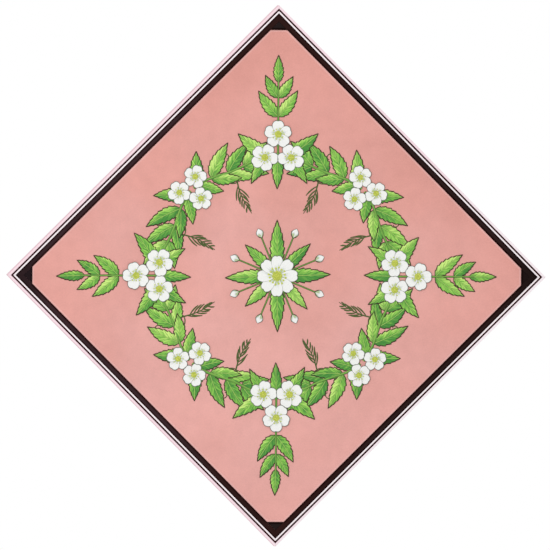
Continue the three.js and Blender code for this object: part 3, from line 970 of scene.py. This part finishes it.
def wreathQuarter(middle):
    # a quarter of the ring's stem and the sprig to the corner; both sides of the quarter's middle
    # have the same leaves, shoots and spray, mirrored
    angles = middle + np.linspace(-1, 1, 97) * wreath["halfSpan"]
    sprig = straight(ringPoint(middle), polar(wreath["sprigReach"], middle))
    parts = [stem([ringPoint(angle) for angle in angles], wreath["stemWidth"]),
             stem(sprig, wreath["sprigWidth"])]
    for side in (1, -1):
        for at, turn, length, width, bend, lift in wreath["leaves"]:
            root, turn = ringPoint(middle + side * at), middle + side * (at + turn)
            lift *= 1.0 if side > 0 else wreath["otherSideLift"]
            parts.append(leaf(root, turn, length, width, side * bend, lift))
        for start, turn, length, width, bend in wreath["sprigLeaves"]:
            root, turn = polar(start, middle), middle + side * turn
            parts.append(leaf(root, turn, length, width, side * bend))
        for at, turn, length, hand in wreath["twigs"]:
            root, turn = ringPoint(middle + side * at), middle + side * (at + turn)
            parts.append(curl(root, turn, length, side * hand))
        parts += spray(middle + side * wreath["sprayAt"], side)
    parts.append(leaf(ringPoint(middle), middle + 180, *wreath["innerLeaf"]))
    start, length, width = wreath["sprigTip"]
    parts.append(leaf(polar(start, middle), middle, length, width))
    return parts


blossom = {
    "petals": 5, "spread": 46.0, "bottom": 0.44, "thick": 0.2, "step": 0.05, "tilt": 0.05,
    "cup": 0.1, "ripple": 0.03, "waist": 0.16, "notch": 0.07, "notchWidth": 0.16,
    "sizeSpread": 0.05, "sway": 4, "eye": 0.25, "eyeCrown": 0.2, "eyeLift": 0.02,
    "bead": 0.05, "beadAt": 0.36, "beadStagger": 0.05, "beadCrown": 0.55, "beadSink": 0.06,
}
squareTrio = {"radius": 11.6, "pairAt": 95, "halfAngle": 6.4, "singleAt": 113}
diagonalTrio = {"radius": 9.8, "pairAt": 103, "halfAngle": 5, "singleAt": 87}
middleBlossom = {"radius": 17.0, "petals": 8, "spread": 30.0, "lift": 0.1}


def petal(centre, direction, radius, spread, base, number):
    # seen from the flower's middle: radius * (waist + (1 - waist) * cos(90 s)^0.4), with s from -1
    # to 1 across the spread, less a small notch at the tip; the face is cupped with t squared
    # towards the tip and rippled, and one edge lies higher, so that it covers the next petal
    s = np.sin(np.linspace(-1, 1, 21) * np.pi / 2)
    t = np.linspace(0.06, 1, 11)[:, None]
    outline = np.maximum(np.cos(s * np.pi / 2), 0) ** 0.4 * (1 - blossom["waist"]) + blossom["waist"]
    outline = radius * (outline - blossom["notch"] * np.exp(-(s / blossom["notchWidth"]) ** 2))
    outline = outline * (1 + blossom["sizeSpread"] * (scatter(number) - 0.5))
    angle = (direction + spread * s * (1 - 0.25 * (1 - t))) * degree
    reach = t * outline
    face = blossom["cup"] * t ** 2 - blossom["ripple"] * np.cos(s * np.pi * 5) * t
    part = slab(
        centre[0] + reach * np.cos(angle), centre[1] + reach * np.sin(angle),
        base + blossom["thick"] + blossom["tilt"] * s + face, blossom["bottom"],
        leafMap=np.stack([t + 0 * s, (s + 1) / 2 + 0 * t], axis=-1), rim=(1 - t) * outline,
    )
    return {**part, "finish": petalWhite, "tint": scatter(number + 3)}


def knob(spot, radius, top, crown, facets, steps, tint):
    # low dome, a quarter ellipse in section, on a round foot
    foot = [(0, blossom["bottom"]), (radius, blossom["bottom"])]
    dome = [(radius * s, top + crown * c) for s, c in reversed(arc(steps))]
    return {**turned(foot + dome, facets, spot), "finish": eyeYellow, "tint": tint}


def flower(centre, radius, turn, base, number, petals, spread):
    # petals all round, an eye in the middle and two beads to a petal round the eye
    parts = []
    for k in range(petals):
        direction = turn + 360 * k / petals + blossom["sway"] * (scatter(number + k) - 0.5)
        parts.append(petal(centre, direction, radius, spread, base, number + 11 * k))
    top = base + blossom["thick"] + blossom["eyeLift"]
    parts.append(knob(centre, blossom["eye"] * radius, top, blossom["eyeCrown"],
                      facets=24, steps=6, tint=0.5))
    bead = blossom["bead"] * radius
    for k in range(2 * petals):
        away = radius * (blossom["beadAt"] + blossom["beadStagger"] * (k % 2))
        spot = centre + polar(away, turn + 180 / petals * (k + 0.5))
        crown = bead * blossom["beadCrown"]
        parts.append(knob(spot, bead, top - blossom["beadSink"], crown,
                          facets=10, steps=4, tint=1.0))
    return parts


def trio(middle, shape, number):
    # three flowers, each with a cleft towards the middle of the three, one over the other
    pair, half = shape["pairAt"], shape["halfAngle"]
    petals, spread = blossom["petals"], blossom["spread"]
    spots = [polar(pair, middle + half), polar(pair, middle - half), polar(shape["singleAt"], middle)]
    parts = []
    for k, spot in enumerate(spots):
        towards = sum(spots) / 3 - spot
        turn = math.atan2(towards[1], towards[0]) / degree + 180 / petals
        base = blossom["bottom"] + blossom["step"] * k
        parts += flower(spot, shape["radius"], turn, base, number + 40 * k, petals, spread)
    return parts


star = {
    "start": 7.0, "long": (36, 13), "short": (29, 11), "budRing": 37.0, "budStem": 1.4,
    "budRadius": 3.2, "budStretch": 1.15, "budPlump": 0.95, "budHeight": 0.55, "budCrown": 0.25,
    "budRounding": 0.4, "sepals": (-34, 34, 0), "sepalFrom": 1.2, "sepalSize": (5.4, 2.6),
}


def bud(spot, direction):
    # egg-shaped bud: half width = radius * plump * sin(pi (0.06 + 0.9 u)), its height crowned like
    # half a sine wave, with three sepals at its foot
    u = np.linspace(0, 1, 25)
    radius, ahead = star["budRadius"], polar(1, direction)
    line = spot + ahead * (radius * star["budStretch"] * (2 * u - 1))[:, None]
    halfWidth = radius * star["budPlump"] * np.sin(np.pi * (0.06 + 0.9 * u))
    height = star["budHeight"] + star["budCrown"] * np.sin(np.pi * u)
    strip = ribbon(line, halfWidth, height, columns=13, finish=budWhite,
                   rounding=star["budRounding"])
    foot = spot - ahead * (radius * star["sepalFrom"])
    sepals = [leaf(foot, direction + swing, *star["sepalSize"]) for swing in star["sepals"]]
    return [closed(strip)] + sepals


def centreStar():
    # eight leaves, long and short in turn, and a bud on a stem in each gap
    parts = []
    for k in range(8):
        size = star["short"] if k % 2 else star["long"]
        parts.append(leaf(polar(star["start"], 45 * k), 45 * k, *size))
    for k in range(8):
        gap = 45 * (k + 0.5)
        end = polar(star["budRing"], gap)
        parts.append(stem(straight(polar(star["start"], gap), end), star["budStem"]))
        parts += bud(end, gap)
    return parts


# lightBy weighs the side towards the light, the strokes, the leaf's tint and its edge, and shadeBy
# the way to the eye, the painted shadow on the covered edge and the streaks
leafLook = {
    "shade": srgb(78, 148, 66), "green": (srgb(146, 208, 88), (0.30, 0.72)),
    "light": (srgb(210, 244, 134), (0.64, 1.0)), "root": (srgb(62, 126, 56), (0.3, 0.0), 0.6),
    "vein": (srgb(58, 116, 50), None, 0.55), "veinWidth": (0.13, 0.03),
    "besideRib": (srgb(60, 110, 46), (0.75, 0.3), 0.55), "rib": (srgb(176, 214, 112), (0.3, 0.12)),
    "ink": (srgb(58, 44, 36), None, 0.96), "inkWidth": 1.0, "veinEnd": (0.95, 0.5),
    "strokes": (2.4, 1.5, 37.0), "lightBy": (0.34, 1.1, 0.35, 0.16),
}
stemLook = {
    "edge": srgb(92, 150, 62), "middle": (srgb(156, 206, 98), (0.2, 0.95)),
    "ink": (srgb(68, 64, 44), None, 0.9), "inkWidth": 0.45,
    "streaks": (9.0, 7.0, 1.0), "lightBy": (0.5, 1.0),
}
twigLook = {
    **stemLook, "edge": srgb(74, 88, 50), "middle": (srgb(98, 122, 62), (0.2, 0.95)),
    "inkWidth": 0.16,
}
petalLook = {
    "white": srgb(248, 249, 246), "shade": (srgb(196, 206, 202), (0.12, 0.75)),
    "green": (srgb(176, 198, 112), None, 0.8), "greenEnd": (0.5, 0.28),
    "ink": (srgb(92, 98, 84), None, 0.9), "inkWidth": 0.55, "streaks": (9.0, 1.6, 29.0),
    "shadeBy": (0.55, 0.5, 1.1), "towardsEye": (0.75, 0.25), "covered": (0.32, 0.0),
    "greenPatch": (0.4, 0.6),
}
eyeLook = {
    "eye": srgb(222, 226, 104), "edge": (srgb(150, 168, 62), (0.25, 0.6)),
    "bead": srgb(206, 214, 96), "dotScale": 900.0,
}


def makeLeafPaint():
    material, coords = newMaterial("leafPaint")
    u, across, _ = split(uvMap(coords, "leafMap"))
    v = absolute(less(times(across, 2.0), 1.0))
    tint, rib = attribute(coords, "tint"), attribute(coords, "rib")
    # strokes follow the side veins, which run forward from the midrib
    phase = times(less(u, times(v, blade["veinLean"])), blade["teeth"])
    stroke = noise(mapped(combined(phase, v, tint), Scale=leafLook["strokes"]), 1.0)
    bright = weighted(leafLook["lightBy"], attribute(coords, "sun"), stroke, less(tint, 0.5), v)
    # green with light tips to the strokes, then dark side veins and a light midrib
    turn = calc("FRACT", phase)
    nearest = calc("MINIMUM", turn, less(1.0, turn))
    vein = times(ease(nearest, *leafLook["veinWidth"]), ease(v, *leafLook["veinEnd"]))
    colour = leafLook["shade"]
    for name, value in (("green", bright), ("light", bright), ("root", u), ("vein", vein),
                        ("besideRib", rib), ("rib", rib)):
        colour = layer(colour, value, *leafLook[name])
    return painted(material, coords, inked(coords, colour, leafLook), stroke, cloud=(60.0, 0.03),
                   grain=(1800.0, 0.035), roughness=0.78, depth=0.00006, strength=0.6)


def makeStalkPaint(name, look):
    # streaks along the stalk, lighter towards the light
    material, coords = newMaterial(name)
    streak = noise(mapped(uvMap(coords, "leafMap"), Scale=look["streaks"]), 1.0)
    bright = weighted(look["lightBy"], attribute(coords, "sun"), streak)
    colour = layer(look["edge"], bright, *look["middle"])
    return coat(material, inked(coords, colour, look), streak, roughness=0.8, depth=0.00005)


def makePetalPaint():
    # white with grey streaks towards the eye and painted shadow along the edge that the next petal
    # covers, green at the root
    material, coords = newMaterial("petalPaint")
    t, s, _ = split(uvMap(coords, "leafMap"))
    tint = attribute(coords, "tint")
    streak = noise(mapped(combined(s, t, tint), Scale=petalLook["streaks"]), 1.0)
    shade = weighted(petalLook["shadeBy"], ease(t, *petalLook["towardsEye"]),
                     ease(s, *petalLook["covered"]), less(streak, 0.5))
    green = times(ease(t, *petalLook["greenEnd"]), ease(streak, *petalLook["greenPatch"]))
    colour = layer(petalLook["white"], shade, *petalLook["shade"])
    colour = layer(colour, green, *petalLook["green"])
    return painted(material, coords, inked(coords, colour, petalLook), streak, cloud=(60.0, 0.012),
                   grain=(1800.0, 0.015), roughness=0.8, depth=0.00005, strength=0.6)


def makeEyePaint():
    # dotted eye; the beads have a tint of 1 and their own colour
    material, coords = newMaterial("eyePaint")
    inputs = {"Vector": coords, "Scale": eyeLook["dotScale"]}
    dots = node(coords.id_data, "TexVoronoi", inputs).outputs["Distance"]
    colour = layer(eyeLook["eye"], dots, *eyeLook["edge"])
    colour = layer(colour, attribute(coords, "tint"), eyeLook["bead"])
    return coat(material, colour, dots, roughness=0.75, depth=0.0001, strength=0.6)


def addRelief(name, solid, parts, materials):
    mount(makeObject(name, materials, **joined(parts, reliefLayers)), solid)


def makeRelief():
    petalPaint = makePetalPaint()
    green = [makeLeafPaint(), makeStalkPaint("stemPaint", stemLook),
             makeStalkPaint("twigPaint", twigLook), petalPaint]
    white = [petalPaint, makeEyePaint()]
    for k, corner in enumerate(corners):
        parts = wreathQuarter(90 + 90 * k)
        addRelief(f"wreathLeaves_{corner}", f"wreath_{corner}", parts, green)
    print("wreath leaves:", leafCount)
    addRelief("starLeaves", "centre_leaves", centreStar(), green)
    trios = [(corners, 90, squareTrio, 100), (sides, 135, diagonalTrio, 300)]
    for names, first, shape, number in trios:
        for k, name in enumerate(names):
            parts = trio(first + 90 * k, shape, number + 7 * k)
            addRelief(f"blossomTrio_{name}", f"blossoms_{name}", parts, white)
    parts = flower(np.zeros(2), middleBlossom["radius"], turn=90, number=500,
                   base=blossom["bottom"] + middleBlossom["lift"],
                   petals=middleBlossom["petals"], spread=middleBlossom["spread"])
    addRelief("middleBlossom", "centre_blossom", parts, white)
    print("blossoms and star")


makeCamera()
makeLights()
makeFloor()
makeBody()
makePanels()
makeHardware()
makeRelief()
